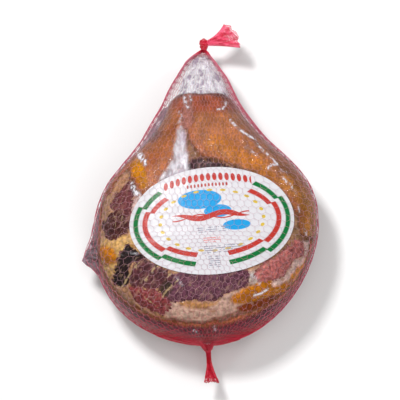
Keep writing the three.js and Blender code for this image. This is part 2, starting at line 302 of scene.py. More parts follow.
class BagSettings(PropertyGroup):
    """The clear bag."""

    gap: FloatProperty(
        name="Film gap", description="How far the film lies off the meat",
        subtype="DISTANCE", default=0.9 * MM, min=0.0002, max=0.002,
    )
    crumple: FloatProperty(
        name="Neck crumple", description="Depth of the crumples in the gathered neck",
        subtype="DISTANCE", default=3.6 * MM, min=0, max=0.008,
    )
    # Colour of the painted highlights on creased film, and of its faint whiteness
    haze_highlight_colour: FloatVectorProperty(
        name="Film", description="Colour that creased film shows",
        subtype="COLOR", size=3, default=(0.86, 0.84, 0.90), min=0, max=1,
    )


class LabelSettings(PropertyGroup):
    """The oval label and its plain print."""

    paper: FloatVectorProperty(
        name="Paper", description="Colour of the unprinted label",
        subtype="COLOR", size=3, default=(0.66, 0.65, 0.68), min=0, max=1,
    )
    green: FloatVectorProperty(
        name="Outer band", description="Colour of the outer band",
        subtype="COLOR", size=3, default=(0.004, 0.155, 0.036), min=0, max=1,
    )
    red: FloatVectorProperty(
        name="Inner band", description="Colour of the inner band, the ribbon and the beads",
        subtype="COLOR", size=3, default=(0.47, 0.036, 0.026), min=0, max=1,
    )
    blue: FloatVectorProperty(
        name="Ovals", description="Colour of the three plain ovals",
        subtype="COLOR", size=3, default=(0.010, 0.31, 0.66), min=0, max=1,
    )


class NetSettings(PropertyGroup):
    """The knitted net."""

    cells_around: IntProperty(
        name="Cells round", description="Cells of the net round the ham",
        default=66, min=12, max=120,
    )
    rows: IntProperty(
        name="Rows", description="Rows of cells from the gather to the knot",
        default=56, min=8, max=120,
    )
    strand: FloatProperty(
        name="Strand", description="Thickness of one strand",
        subtype="DISTANCE", default=0.78 * MM, min=0.0002, max=0.002,
    )
    single: FloatVectorProperty(
        name="Single strand", description="Colour of a strand that lies alone",
        subtype="COLOR", size=3, default=(0.50, 0.25, 0.31), min=0, max=1,
    )
    bunched: FloatVectorProperty(
        name="Bunched strands", description="Colour where strands lie close together",
        subtype="COLOR", size=3, default=(0.60, 0.014, 0.045), min=0, max=1,
    )


class StageSettings(PropertyGroup):
    """Floor, lights and camera."""

    elevation: FloatProperty(
        name="Elevation", description="Height of the camera above the floor, as an angle",
        subtype="ANGLE", default=math.radians(78), min=0, max=math.pi / 2,
    )
    view_width: FloatProperty(
        name="View width", description="Width that the view takes in at the ham's middle",
        subtype="DISTANCE", default=0.5, min=0.1, max=2,
    )
    lens: FloatProperty(
        name="Lens", description="Focal length of the camera in millimetres",
        default=200, min=35, max=400,
    )
    key: FloatProperty(
        name="Key light", description="Power of the key light in watts",
        default=20.5, min=0, max=500,
    )
    surround: FloatProperty(
        name="Surround", description="Strength of the light from all round",
        default=0.24, min=0, max=5,
    )


# ---- modelling helpers --------------------------------------------------------------------------


def deselect():
    """Nothing is selected afterwards."""
    bpy.ops.object.select_all(action="DESELECT")


def pick(piece):
    """Only this piece is selected, and it is active."""
    deselect()
    piece.select_set(True)
    bpy.context.view_layer.objects.active = piece


def named(name):
    """The active object, just added, gets its name."""
    piece = bpy.context.object
    piece.name = name
    piece.data.name = name
    return piece


def modify(piece, kind, **settings):
    """Adds a modifier with its settings and applies it."""
    pick(piece)
    bpy.ops.object.modifier_add(type=kind)
    modifier = piece.modifiers[-1]
    for key, value in settings.items():
        setattr(modifier, key, value)
    bpy.ops.object.modifier_apply(modifier=modifier.name)


def edit(piece, *steps):
    """Runs edit-mode operators on all of a piece. Each step is an operator and its settings."""
    pick(piece)
    bpy.ops.object.mode_set(mode="EDIT")
    bpy.ops.mesh.select_all(action="SELECT")
    for operator, settings in steps:
        operator(**settings)
    bpy.ops.object.mode_set(mode="OBJECT")


def settle(piece):
    """Turn, size and place go into the mesh, so that the object sits at the origin."""
    pick(piece)
    bpy.ops.object.transform_apply(location=True, rotation=True, scale=True)


def points_of(piece):
    """The piece's points in millimetres."""
    flat = np.empty(len(piece.data.vertices) * 3)
    piece.data.vertices.foreach_get("co", flat)
    return flat.reshape(-1, 3) / MM


def move_points(piece, points):
    """The piece's points take these places, in millimetres."""
    piece.data.vertices.foreach_set("co", (np.asarray(points) * MM).ravel())
    piece.data.update()


def normals_of(piece):
    """The direction that each point of the piece faces."""
    flat = np.empty(len(piece.data.vertices) * 3)
    piece.data.vertex_normals.foreach_get("vector", flat)
    return flat.reshape(-1, 3)


def paint(piece, name, values):
    """Stores a number or a colour on each point, for the materials."""
    values = np.asarray(values, float)
    if values.ndim == 1:
        layer = piece.data.attributes.new(name, "FLOAT", "POINT")
        layer.data.foreach_set("value", values)
    else:
        layer = piece.data.attributes.new(name, "FLOAT_COLOR", "POINT")
        layer.data.foreach_set("color", np.c_[values, np.ones(len(values))].ravel())


def finish_piece(piece, slot, *nodes, angle=None):
    """Shades a piece, lets it ride and hides the imported solids that it replaces."""
    pick(piece)
    if angle is None:
        bpy.ops.object.shade_smooth()
    else:
        bpy.ops.object.shade_smooth_by_angle(angle=math.radians(angle))
    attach(piece, BODY)
    if nodes:
        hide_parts(*nodes)


def surface_of(name):
    """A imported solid's surface, for rays, in millimetres."""
    shell = bmesh.new()
    shell.from_mesh(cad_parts[name].data)
    bmesh.ops.remove_doubles(shell, verts=shell.verts, dist=1e-6)
    bmesh.ops.scale(shell, vec=(1 / MM,) * 3, verts=shell.verts)
    tree = BVHTree.FromBMesh(shell)
    shell.free()
    return tree


def ease(value):
    """A smooth step from 0 to 1."""
    value = np.clip(value, 0.0, 1.0)
    return value * value * (3 - 2 * value)


def lumps(points, size, seed, detail=1):
    """Smooth noise from about -1 to 1 at each point, in lumps of a size in millimetres."""
    size = np.broadcast_to(np.asarray(size, float), (3,))
    shift = np.array((seed * 17.3, seed * 5.1, seed * 9.7))
    places = points / size + shift
    total = np.zeros(len(points))
    for octave in range(detail):
        scale = 2.0**octave
        total += np.array([noise.noise(Vector(p)) for p in places * scale]) / scale
    return total


def plan_of(points):
    """Plan places of points, as the cut face's outlines are drawn."""
    return np.stack([points[:, 0], points[:, 1] + (points[:, 2] - FACE_Z) * PLAN_TILT], axis=1)


def rounded(corners, per_side=5):
    """A smooth closed line through the corners of an outline."""
    corners = np.asarray(corners, float)
    before, after, beyond = (np.roll(corners, shift, axis=0) for shift in (1, -1, -2))
    steps = []
    for t in np.arange(per_side) / per_side:
        steps.append(
            0.5 * (2 * corners + (after - before) * t
                   + (2 * before - 5 * corners + 4 * after - beyond) * t**2
                   + (3 * corners - before - 3 * after + beyond) * t**3)
        )
    return np.stack(steps, axis=1).reshape(-1, 2)


def line_distance(plan, starts, ends):
    """Distance from each plan point to the nearest of some straight stretches."""
    nearest = np.full(len(plan), np.inf)
    for start, end in zip(starts, ends):
        along = end - start
        share = np.clip(((plan - start) @ along) / (along @ along + 1e-9), 0, 1)
        gap = plan - start - share[:, None] * along
        nearest = np.minimum(nearest, np.hypot(gap[:, 0], gap[:, 1]))
    return nearest


def depth_in(plan, corners):
    """How far each plan point lies inside a rounded outline, and below 0 outside it."""
    starts = rounded(corners)
    ends = np.roll(starts, -1, axis=0)
    inside = np.zeros(len(plan), bool)
    for (x0, y0), (x1, y1) in zip(starts, ends):
        spans = (y0 > plan[:, 1]) != (y1 > plan[:, 1])
        height = y1 - y0 if y1 != y0 else 1e-9
        inside ^= spans & (plan[:, 0] < x0 + (plan[:, 1] - y0) * (x1 - x0) / height)
    distance = line_distance(plan, starts, ends)
    return np.where(inside, distance, -distance)


def line_field(plan, lines):
    """How strongly some lines, each of a strength and half width, show at each plan point."""
    field = np.zeros(len(plan))
    for strength, half_width, line in lines:
        line = np.array(line, float)
        near = line_distance(plan, line[:-1], line[1:])
        field = np.maximum(field, strength * np.exp(-((near / half_width) ** 2)))
    return field


def round_form(name, node, cuts, levels):
    """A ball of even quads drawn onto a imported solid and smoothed."""
    low, high = node_box(node)
    deselect()
    bpy.ops.mesh.primitive_cube_add(size=2, location=(low + high) / 2 * MM)
    piece = named(name)
    edit(
        piece,
        (bpy.ops.mesh.subdivide, {"number_cuts": cuts}),
        (bpy.ops.transform.tosphere, {"value": 1.0}),
    )
    piece.scale = (high - low) * MM * 0.62
    settle(piece)
    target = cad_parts[node]
    for smoothing in (6, 3):
        modify(piece, "SHRINKWRAP", target=target, wrap_method="NEAREST_SURFACEPOINT")
        modify(piece, "SMOOTH", factor=0.5, iterations=smoothing)
    modify(piece, "SHRINKWRAP", target=target, wrap_method="NEAREST_SURFACEPOINT")
    modify(piece, "SUBSURF", levels=levels, render_levels=levels)
    modify(piece, "SMOOTH", factor=0.5, iterations=8)
    places = points_of(piece)
    end = ease((places[:, 1] - 104) / 20)
    across = (places[:, 0] + 5.5) / 36
    places[:, 0] += 4.2 * end * np.tanh(2.2 * across)
    places[:, 1] += 2.2 * ease((places[:, 1] - 118) / 12) * np.minimum(np.abs(across), 1.0)
    move_points(piece, places)
    return piece


# ---- material helpers ---------------------------------------------------------------------------


class Finish:
    """A material and short ways to add the nodes that the finishes share."""

    def __init__(self, name):
        self.material = bpy.data.materials.new(name)
        self.material.use_nodes = True
        self.tree = self.material.node_tree
        self.tree.nodes.clear()
        self.place = None

    def add(self, kind, inputs=None, **settings):
        """Adds a node. Inputs are plain values or the outputs of other nodes."""
        node = self.tree.nodes.new(kind)
        for key, value in settings.items():
            setattr(node, key, value)
        for key, value in (inputs or {}).items():
            if isinstance(value, bpy.types.NodeSocket):
                self.tree.links.new(value, node.inputs[key])
            else:
                node.inputs[key].default_value = value
        return node

    def millimetres(self, stretch=(1, 1, 1)):
        """The place on the object in millimetres, pressed together along each axis by stretch."""
        if self.place is None:
            self.place = self.add("ShaderNodeTexCoord").outputs["Object"]
        scale = [share / MM for share in stretch]
        return self.add("ShaderNodeMapping", {"Vector": self.place, "Scale": scale}).outputs[0]

    def noise(self, size, detail=2.0, stretch=(1, 1, 1), place=None):
        """Soft noise from 0 to 1 in lumps of a size in millimetres."""
        vector = place or self.millimetres(stretch)
        inputs = {"Vector": vector, "Scale": 1 / size, "Detail": detail}
        return self.add("ShaderNodeTexNoise", inputs).outputs["Fac"]

    def warped(self, size, reach, stretch=(1, 1, 1)):
        """Millimetre places pushed about by noise of a size, by about a reach."""
        place = self.millimetres(stretch)
        push = self.add("ShaderNodeTexNoise", {"Vector": place, "Scale": 1 / size, "Detail": 2.0})
        shifted = self.add(
            "ShaderNodeVectorMath", {0: push.outputs["Color"], 1: (0.5,) * 3}, operation="SUBTRACT"
        )
        scaled = self.add(
            "ShaderNodeVectorMath", {0: shifted.outputs[0], "Scale": 2 * reach}, operation="SCALE"
        )
        return self.add("ShaderNodeVectorMath", {0: place, 1: scaled.outputs[0]}).outputs[0]

    def cracks(self, size, place):
        """Distance to the edges between cells of a size in millimetres, 0 on an edge."""
        inputs = {"Vector": place, "Scale": 1 / size}
        return self.add(
            "ShaderNodeTexVoronoi", inputs, feature="DISTANCE_TO_EDGE"
        ).outputs["Distance"]

    def math(self, operation, a, b=0.0):
        """One sum of two numbers."""
        return self.add("ShaderNodeMath", {0: a, 1: b}, operation=operation).outputs[0]

    def step(self, value, low, high, start=0.0, end=1.0):
        """A smooth step of a value from low to high."""
        inputs = {"Value": value, 1: low, 2: high, 3: start, 4: end}
        node = self.add("ShaderNodeMapRange", inputs, interpolation_type="SMOOTHSTEP")
        return node.outputs[0]

    def mix(self, share, a, b, blend="MIX"):
        """A colour between a and b."""
        node = self.add("ShaderNodeMix", data_type="RGBA", blend_type=blend)
        for key, value in ((0, share), (6, a), (7, b)):
            if isinstance(value, bpy.types.NodeSocket):
                self.tree.links.new(value, node.inputs[key])
            elif key == 0:
                node.inputs[key].default_value = value
            else:
                node.inputs[key].default_value = (*value[:3], 1.0)
        return node.outputs[2]

    def shaded(self, colour, value):
        """A colour made lighter or darker by a number."""
        grey = self.add("ShaderNodeCombineColor", {0: value, 1: value, 2: value}).outputs[0]
        return self.mix(1.0, colour, grey, "MULTIPLY")

    def blotched(self, colour, noise, low, high, most, other):
        """A colour with blotches of another where noise rises from low to high."""
        return self.mix(self.step(noise, low, high, 0, most), colour, other)

    def painted(self, name, output="Fac"):
        """A number or colour stored on the piece's points."""
        return self.add("ShaderNodeAttribute", attribute_name=name).outputs[output]

    def bump(self, height, distance):
        """Surface relief from a height, in millimetres."""
        inputs = {"Height": height, "Distance": distance * MM}
        return self.add("ShaderNodeBump", inputs).outputs[0]

    def principled(self, **inputs):
        """The main shader."""
        fixed = {key.replace("_", " "): value for key, value in inputs.items()}
        return self.add("ShaderNodeBsdfPrincipled", fixed)

    def wear(self, shader):
        """Joins a shader to the material's output."""
        output = self.add("ShaderNodeOutputMaterial")
        self.tree.links.new(shader.outputs[0], output.inputs[0])
        return self.material


# ---- the ham ------------------------------------------------------------------------------------


def painted_tone(plan, base, patches):
    """The colour of one kind of surface at each plan point, from its base and its patches."""
    tone = np.tile(np.array(base[:], float), (len(plan), 1))
    for colour, soft, _, outline in patches:
        share = ease((depth_in(plan, outline) + soft * 0.5) / soft)[:, None]
        tone = tone * (1 - share) + np.array(colour) * share
    return tone


def patch_lift(plan, patches):
    """How far the patches stand out of the ham, or in where it is below 0, in millimetres."""
    lift = np.zeros(len(plan))
    for _, soft, rise, outline in patches:
        if rise:
            lift += rise * ease((depth_in(plan, outline) + 1.5) / (soft + 3.0))
    return lift


def meat_map(points, normals):
    """What each point of the ham is: how deep in the cut face and in lean meat, and its relief."""
    wander = np.stack([lumps(points, 22, 1), lumps(points, 22, 2)], axis=1) * 2.6
    wander += np.stack([lumps(points, 7, 3), lumps(points, 7, 4)], axis=1) * 2.2
    plan = plan_of(points) + wander
    rim = RIM_Z + 7 * lumps(points, 34, 9) + 3 * lumps(points, 11, 10)
    cut = np.minimum(depth_in(plan, CUT_FACE), points[:, 2] - rim)
    lean = np.full(len(points), -30.0)
    for _, _, _, outline in LEAN_PATCHES:
        lean = np.maximum(lean, depth_in(plan, outline))
    lean = np.minimum(lean, cut - 2.0)
    facing_up = ease((normals[:, 2] + 0.1) / 0.5)
    return plan, cut, lean, facing_up


def meat_relief(points, normals, step):
    """How far each point of the ham's surface moves in or out, in millimetres."""
    plan, cut, lean, facing_up = meat_map(points, normals)
    upper = ease((plan[:, 1] + 80) / 90)
    sunk = -ease((cut + 1.0) / 6.0) * (0.8 + (step - 0.8) * upper)
    seam = -1.3 * np.exp(-((cut / 1.8) ** 2)) - 0.9 * np.exp(-((lean / 1.6) ** 2))
    inside = ease((cut + 2) / 4)
    relief = sunk + seam * (0.4 + 0.6 * inside)
    relief += patch_lift(plan, RIND_PATCHES) * (1 - inside)
    relief += (patch_lift(plan, FAT_PATCHES) + patch_lift(plan, LEAN_PATCHES)) * inside
    relief *= facing_up
    relief += inside * (0.9 * lumps(points, 16, 5) + 0.45 * lumps(points, 5, 6))
    relief += (1 - inside) * (0.7 * lumps(points, 26, 7) + 0.22 * lumps(points, (4, 9, 4), 8))
    return relief


def meat_finish():
    """Rind, fat and lean meat in one finish, told apart by depths painted on the ham."""
    finish = Finish("cured_meat")
    ragged = finish.noise(3.2, 3.0)
    frayed = finish.math("ADD", ragged, finish.math("MULTIPLY", finish.noise(9, 3.0), 0.8))
    shift = finish.math("MULTIPLY", finish.math("SUBTRACT", frayed, 0.9), 8.5)
    cut = finish.step(finish.math("ADD", finish.painted("cut_depth"), shift), -0.5, 0.5)
    lean = finish.step(finish.math("ADD", finish.painted("lean_depth"), shift), -0.6, 0.6)

    pores = finish.add(
        "ShaderNodeTexVoronoi", {"Vector": finish.millimetres((1, 0.55, 1)), "Scale": 1 / 2.6}
    ).outputs["Distance"]
    rind_shade = finish.step(finish.noise(9, 4.0, (1, 0.4, 1)), 0.3, 0.72, 0.72, 1.22)
    rind = finish.shaded(finish.painted("rind_tone", "Color"), rind_shade)
    grit = finish.step(finish.noise(1.7, 3.0, (1, 0.7, 1)), 0.30, 0.70, 0.70, 1.34)
    rind = finish.shaded(rind, grit)
    rind = finish.mix(finish.step(pores, 0.0, 0.30, 0.5, 0.0), rind, (0.10, 0.03, 0.015))
    rind = finish.blotched(rind, finish.noise(2.8, 2.0), 0.60, 0.74, 0.45, (0.62, 0.36, 0.20))
    rind = finish.blotched(rind, finish.noise(30, 3.0), 0.52, 0.72, 0.4, (0.27, 0.065, 0.03))

    fat_shade = finish.step(finish.noise(5, 4.0), 0.3, 0.7, 0.66, 1.32)
    fat = finish.shaded(finish.painted("fat_tone", "Color"), fat_shade)
    streaks = finish.noise(11, 3.0, (0.5, 1.6, 1))
    fat = finish.blotched(fat, streaks, 0.56, 0.7, 0.6, (0.33, 0.12, 0.035))
    fat = finish.blotched(fat, finish.noise(2.2, 3.0), 0.54, 0.72, 0.5, (0.24, 0.10, 0.05))
    fat = finish.blotched(fat, finish.noise(7.5, 3.0), 0.58, 0.72, 0.3, (0.80, 0.62, 0.48))

    grain = finish.warped(14, 5.0)
    lean_shade = finish.step(finish.noise(4.0, 4.0, place=grain), 0.3, 0.72, 0.55, 1.45)
    meat = finish.shaded(finish.painted("lean_tone", "Color"), lean_shade)
    veins = finish.cracks(13, finish.warped(9, 9.0))
    fine_veins = finish.cracks(4.5, finish.warped(4, 2.4))
    marble = finish.math(
        "MULTIPLY", finish.step(veins, 0.01, 0.055, 1, 0), finish.step(finish.noise(13), 0.46, 0.62)
    )
    where_fine = finish.step(finish.noise(9), 0.52, 0.66, 0, 0.5)
    fine = finish.math("MULTIPLY", finish.step(fine_veins, 0.0, 0.08, 1, 0), where_fine)
    veined = finish.math("MAXIMUM", marble, fine)
    marbled = finish.math("MULTIPLY", veined, finish.painted("marbling"))
    meat = finish.mix(finish.math("MULTIPLY", marbled, 0.28), meat, (0.55, 0.32, 0.29))

    slant = {"Vector": grain, "Rotation": (0, 0, math.radians(54)), "Scale": (7, 1, 2)}
    slanting = finish.add("ShaderNodeMapping", slant, vector_type="TEXTURE").outputs[0]
    fibres = finish.noise(2.6, 3.0, place=slanting)
    meat = finish.blotched(meat, fibres, 0.53, 0.66, 0.5, (0.42, 0.25, 0.18))
    meat = finish.mix(finish.step(fibres, 0.30, 0.44, 0.6, 0.0), meat, (0.035, 0.012, 0.014))
    sinew = finish.math("MULTIPLY", finish.painted("sinew"), finish.noise(2.4, 3.0))
    meat = finish.mix(finish.step(sinew, 0.14, 0.34), meat, (0.50, 0.36, 0.19))
    face = finish.mix(lean, fat, meat)
    colour = finish.mix(cut, rind, face)
    # Painted shade: a dark line along the edge of the cut face, where the flaps step down
    edge = finish.step(finish.math("ABSOLUTE", finish.painted("cut_depth")), 0.2, 2.2, 0.55, 0.0)
    colour = finish.mix(edge, colour, (0.12, 0.045, 0.025))
    colour = finish.add("ShaderNodeHueSaturation", {"Saturation": 1.04, "Color": colour}).outputs[0]
    height = finish.math("ADD", finish.noise(2.4, 3.0), finish.math("MULTIPLY", pores, 0.5))
    normal = finish.bump(height, 0.5)
    shader = finish.principled(Base_Color=colour, Roughness=0.42, Normal=normal)
    shader.inputs["Specular IOR Level"].default_value = 0.12
    return finish.wear(shader)


class HAM_OT_meat(Operator):
    """Model the ham: flaps of rind, cut face, muscles, fat and their relief"""

    bl_idname = "ham.meat"
    bl_label = "Ham"

    def execute(self, context):
        settings = context.scene.ham_meat
        piece = round_form("ham_meat", "ham", cuts=27, levels=2)
        points, normals = points_of(piece), normals_of(piece)
        relief = meat_relief(points, normals, settings.flap_step / MM)
        move_points(piece, points + normals * relief[:, None])
        plan, cut, lean, facing_up = meat_map(points, normals)
        paint(piece, "cut_depth", np.clip(cut, -12, 12))
        paint(piece, "lean_depth", np.clip(lean, -12, 12))
        rind = painted_tone(plan, settings.rind, RIND_PATCHES)
        upward = facing_up[:, None]
        # Points turned away from the top take the darker rind colour: painted shade
        paint(piece, "rind_tone", rind * upward + UNDERSIDE_RIND_AND_SHADE * (1 - upward))
        paint(piece, "fat_tone", painted_tone(plan, settings.fat, FAT_PATCHES))
        paint(piece, "lean_tone", painted_tone(plan, settings.lean, LEAN_PATCHES))
        black_muscle = depth_in(plan, LEAN_PATCHES[2][3])
        paint(piece, "marbling", 1 - ease((black_muscle + 3) / 4))
        paint(piece, "sinew", line_field(plan, SINEWS))
        piece.data.materials.append(meat_finish())
        finish_piece(piece, "meat", "ham")
        return {"FINISHED"}


# ---- the bag ------------------------------------------------------------------------------------


def film_finish(haze_highlight_colour):
    """Clear film: painted highlights on its creases and fold, a mauve veil with painted shade where
    it stands off the ham, else seen only by its gloss.
    """
    finish = Finish("clear_film")
    # Painted highlights on the creases, broken by noise, over a faint even whiteness
    broken = finish.step(finish.noise(3.6, 3.0, (1, 0.7, 1)), 0.44, 0.54)
    share = finish.math("ADD", finish.math("MULTIPLY", broken, 0.9), 0.14)
    haze_and_highlight = finish.math("ADD", finish.math("MULTIPLY", finish.painted("haze_and_highlight"), share), 0.004)
    # Soft painted highlight over the fold
    soft = finish.step(finish.noise(8, 3.0, (1, 0.35, 1)), 0.36, 0.62, 0.30, 0.86)
    haze_and_highlight = finish.math("MAXIMUM", haze_and_highlight, finish.math("MULTIPLY", finish.painted("fold"), soft))
    waves = finish.noise(7, 3.0, place=finish.warped(20, 9))
    ripples = finish.math("MULTIPLY", finish.noise(2.2, 2), 0.25)
    normal = finish.bump(finish.math("ADD", waves, ripples), 1.6)
    clear = finish.add("ShaderNodeBsdfTransparent", {"Color": (0.97, 0.97, 0.975, 1)})
    gloss = finish.add("ShaderNodeBsdfGlossy", {"Roughness": 0.1, "Normal": normal})
    facing = finish.add("ShaderNodeFresnel", {"IOR": 1.33, "Normal": normal})
    share = finish.math("MULTIPLY", facing.outputs[0], 0.7)
    shine = finish.add("ShaderNodeMixShader", {0: share, 1: clear.outputs[0], 2: gloss.outputs[0]})
    # White on the creased and folded places: painted highlight
    white = finish.principled(Base_Color=(*haze_highlight_colour[:], 1), Roughness=0.25, Normal=normal)
    # Layered film tinted by the net where it stands off the ham, darkened with painted shade
    mauve_and_shade = finish.principled(Base_Color=(0.38, 0.23, 0.29, 1), Roughness=0.3, Normal=normal)
    veil = finish.add(
        "ShaderNodeMixShader", {0: finish.painted("veil"), 1: shine.outputs[0], 2: mauve_and_shade.outputs[0]}
    )
    film = finish.add("ShaderNodeMixShader", {0: haze_and_highlight, 1: veil.outputs[0], 2: white.outputs[0]})
    return finish.wear(film)


def neck_finish():
    """Crumpled film, whose many layers look silvery white, with painted shade of its crumples and
    painted highlights along its folds.
    """
    finish = Finish("crumpled_film")
    folds = finish.cracks(11, finish.warped(12, 9.0, (1, 0.5, 1)))
    shade = finish.step(finish.noise(9, 3.0, (1, 0.6, 1)), 0.36, 0.56)
    # Dark lilac in patches: painted shade of the crumples
    colour = finish.mix(shade, (0.42, 0.36, 0.46), (0.86, 0.83, 0.91))
    # White along the folds: painted highlight
    colour = finish.mix(finish.step(folds, 0.0, 0.16, 0.8, 0.0), colour, (1.0, 1.0, 1.0))
    normal = finish.bump(finish.math("ADD", finish.noise(2.6, 3.0), folds), 2.2)
    clear = finish.add("ShaderNodeBsdfTransparent", {"Color": (0.95, 0.95, 0.97, 1)})
    white = finish.principled(Base_Color=colour, Roughness=0.16, Normal=normal)
    see_through = finish.step(finish.noise(8, 2.0), 0.35, 0.7, 0.78, 0.98)
    layers = {0: see_through, 1: clear.outputs[0], 2: white.outputs[0]}
    return finish.wear(finish.add("ShaderNodeMixShader", layers))


CORNER_Y = -72.0  # where the bag's loose corner comes to its point


def corner_share(y):
    """How much of the bag's loose corner is left at a place along the ham: it comes to a point."""
    if y > CORNER_Y:
        return 0.48 + 0.52 * max(0.0, 1 - (y - CORNER_Y) / 32) ** 1.2
    return 0.15 + 0.85 * max(0.0, 1 - (CORNER_Y - y) / 22)


class HAM_OT_bag(Operator):
    """Model the clear bag: the film over the ham, its crumpled neck and its side seam"""

    bl_idname = "ham.bag"
    bl_label = "Bag"

    def execute(self, context):
        settings = context.scene.ham_bag
        bag = surface_of("vacuum_bag")
        film = self.film(settings, bag, context.scene.ham_meat.flap_step / MM)
        neck = self.neck(settings, bag)
        seam = self.seam(bag, surface_of("net_sleeve"), surface_of("ham"))
        clear = film_finish(settings.haze_highlight_colour)
        film.data.materials.append(clear)
        seam.data.materials.append(clear)
        neck.data.materials.append(neck_finish())
        finish_piece(film, "film", "vacuum_bag")
        finish_piece(neck, "film")
        finish_piece(seam, "film")
        return {"FINISHED"}

    def film(self, settings, bag, step):
        """The film follows the ham, spans its hollows and reaches out to the corner of the bag."""
        piece = round_form("bag_film", "ham", cuts=27, levels=2)
        points, normals = points_of(piece), normals_of(piece)
        relief = meat_relief(points, normals, step)
        spanned = np.where(relief < 0, relief * 0.55, relief)
        plan = plan_of(points)
        upward = ease((normals[:, 2] - 0.3) / 0.3)
        # Painted highlights along the film's creases and over its fold, on faces turned up
        haze_and_highlight = line_field(plan, CREASE_HIGHLIGHTS) * upward
        fold = ease((depth_in(plan, FOLD_HIGHLIGHT) + 1.5) / 4) * upward
        lift = settings.gap / MM + spanned + 0.5 * haze_and_highlight + 0.18 * lumps(points, (9, 5, 9), 11, 2)
        lift += fold * (0.8 - 1.6 * np.abs(lumps(points, (5, 16, 5), 12)))
        places = points + normals * lift[:, None]
        veil = np.zeros(len(points))
        for index in np.flatnonzero(normals[:, 0] < -0.35):
            start = Vector(points[index] + normals[index] * 0.7)
            hit = bag.ray_cast(start, Vector((-1, 0, 0)), 40)
            if hit[0] is not None and hit[3] > 1.2:
                reach = (hit[3] - 0.6) * corner_share(start.y)
                places[index, 0] -= reach
                veil[index] = 0.38 * ease((reach - 0.8) / 14)
        places[:, 2] = np.maximum(places[:, 2], NET_LOW[2] + 1.4)
        move_points(piece, places)
        paint(piece, "haze_and_highlight", haze_and_highlight)
        paint(piece, "fold", fold)
        paint(piece, "veil", veil)
        return piece

    def neck(self, settings, bag):
        """A closed sleeve of crumpled film from the shank's end to the bag's mouth."""
        low, high = HAM_HIGH[1] - 5.5, BAG_HIGH[1]
        deselect()
        bpy.ops.mesh.primitive_grid_add(x_subdivisions=150, y_subdivisions=84, size=2)
        piece = named("bag_neck")
        unit = points_of(piece) * MM
        turns, along = unit[:, 0] * math.pi, (unit[:, 1] + 1) / 2
        share = np.clip((along - 0.04) / 0.92, 0, 1)
        wall = np.clip(np.minimum(along, 1 - along) / 0.04, 0, 1)  # falls to 0 where the ends close
        outward = np.stack([np.cos(turns), np.zeros(len(turns)), np.sin(turns)], axis=1)
        places = np.empty_like(unit)
        for index, aim in enumerate(outward):
            middle = Vector((-6.2, low + (high - low) * share[index], 58 - 5 * share[index]))
            aim = Vector(aim)
            hit = bag.ray_cast(middle + aim * 120, -aim, 120)
            edge = hit[0] if hit[0] is not None else middle + aim * 9
            places[index] = middle + (edge - middle) * wall[index] * (1.0 + 0.10 * share[index])
        ridges = 1 - 2 * np.abs(lumps(places, (13, 24, 13), 21))
        ridges -= 1.2 * np.abs(lumps(places, (7, 12, 7), 22))
        ridges -= 0.6 * np.abs(lumps(places, 3.2, 23))
        amount = settings.crumple / MM * ease(share / 0.14)
        amount *= 0.5 + 0.5 * ease((1.02 - share) / 0.3)
        tuck = 7.0 * ease((0.16 - share) / 0.16)  # behind the meat at the shank's end
        places += outward * ((ridges - 0.35) * amount * wall)[:, None]
        places -= outward * (tuck * wall)[:, None]
        places[:, 1] += wall * ease((share - 0.7) / 0.3) * 3.0 * lumps(places, 7, 24)
        move_points(piece, places)
        edit(
            piece,
            (bpy.ops.mesh.remove_doubles, {"threshold": 0.01 * MM}),
            (bpy.ops.mesh.normals_make_consistent, {"inside": False}),
        )
        return piece

    def seam(self, bag, net, ham):
        """The flat welded seam that stands off the ham's left side, inside the net."""
        rows, columns = 150, 5
        deselect()
        bpy.ops.mesh.primitive_grid_add(x_subdivisions=columns, y_subdivisions=rows, size=2)
        piece = named("bag_side_seam")
        unit = points_of(piece) * MM
        places = np.empty_like(unit)
        for index, (across, along, _) in enumerate(unit):
            y = -104 + (126 + 104) * (along + 1) / 2
            z = 52 + 3.0 * math.sin(y / 23) + 1.2 * math.sin(y / 6.1)
            far = Vector((-400, y, z))
            inner = bag.ray_cast(far, Vector((1, 0, 0)))[0].x + 1.2
            outer = net.ray_cast(far, Vector((1, 0, 0)))[0].x + 1.0
            if y < 20:
                side = ham.ray_cast(far, Vector((1, 0, 0)))[0].x
                outer = side + (outer - side) * corner_share(y)
                inner = side + 1.5
            ends = ease((y + 104) / 14) * ease((126 - y) / 10)
            reach = min(outer, inner - 2.2 * ends)
            share = (1 - across) / 2
            places[index] = (inner + (reach - inner) * share, y, z + 0.8 * share * math.sin(y / 9))
        move_points(piece, places)
        modify(piece, "SOLIDIFY", thickness=0.35 * MM, offset=0.0)
        count = len(piece.data.vertices)
        paint(piece, "haze_and_highlight", np.full(count, 0.03))
        paint(piece, "veil", np.full(count, 0.7))
        return piece


# ---- the label ----------------------------------------------------------------------------------

LABEL_MIDDLE = (LABEL_LOW + LABEL_HIGH) / 2 - np.array((1.2, 0, 0))
LABEL_TURN = math.radians(5)
LABEL_LENGTH, LABEL_WIDTH = 206.0, 136.0
LABEL_DRAWN = 0.983  # of that size once it is bowed over the ham


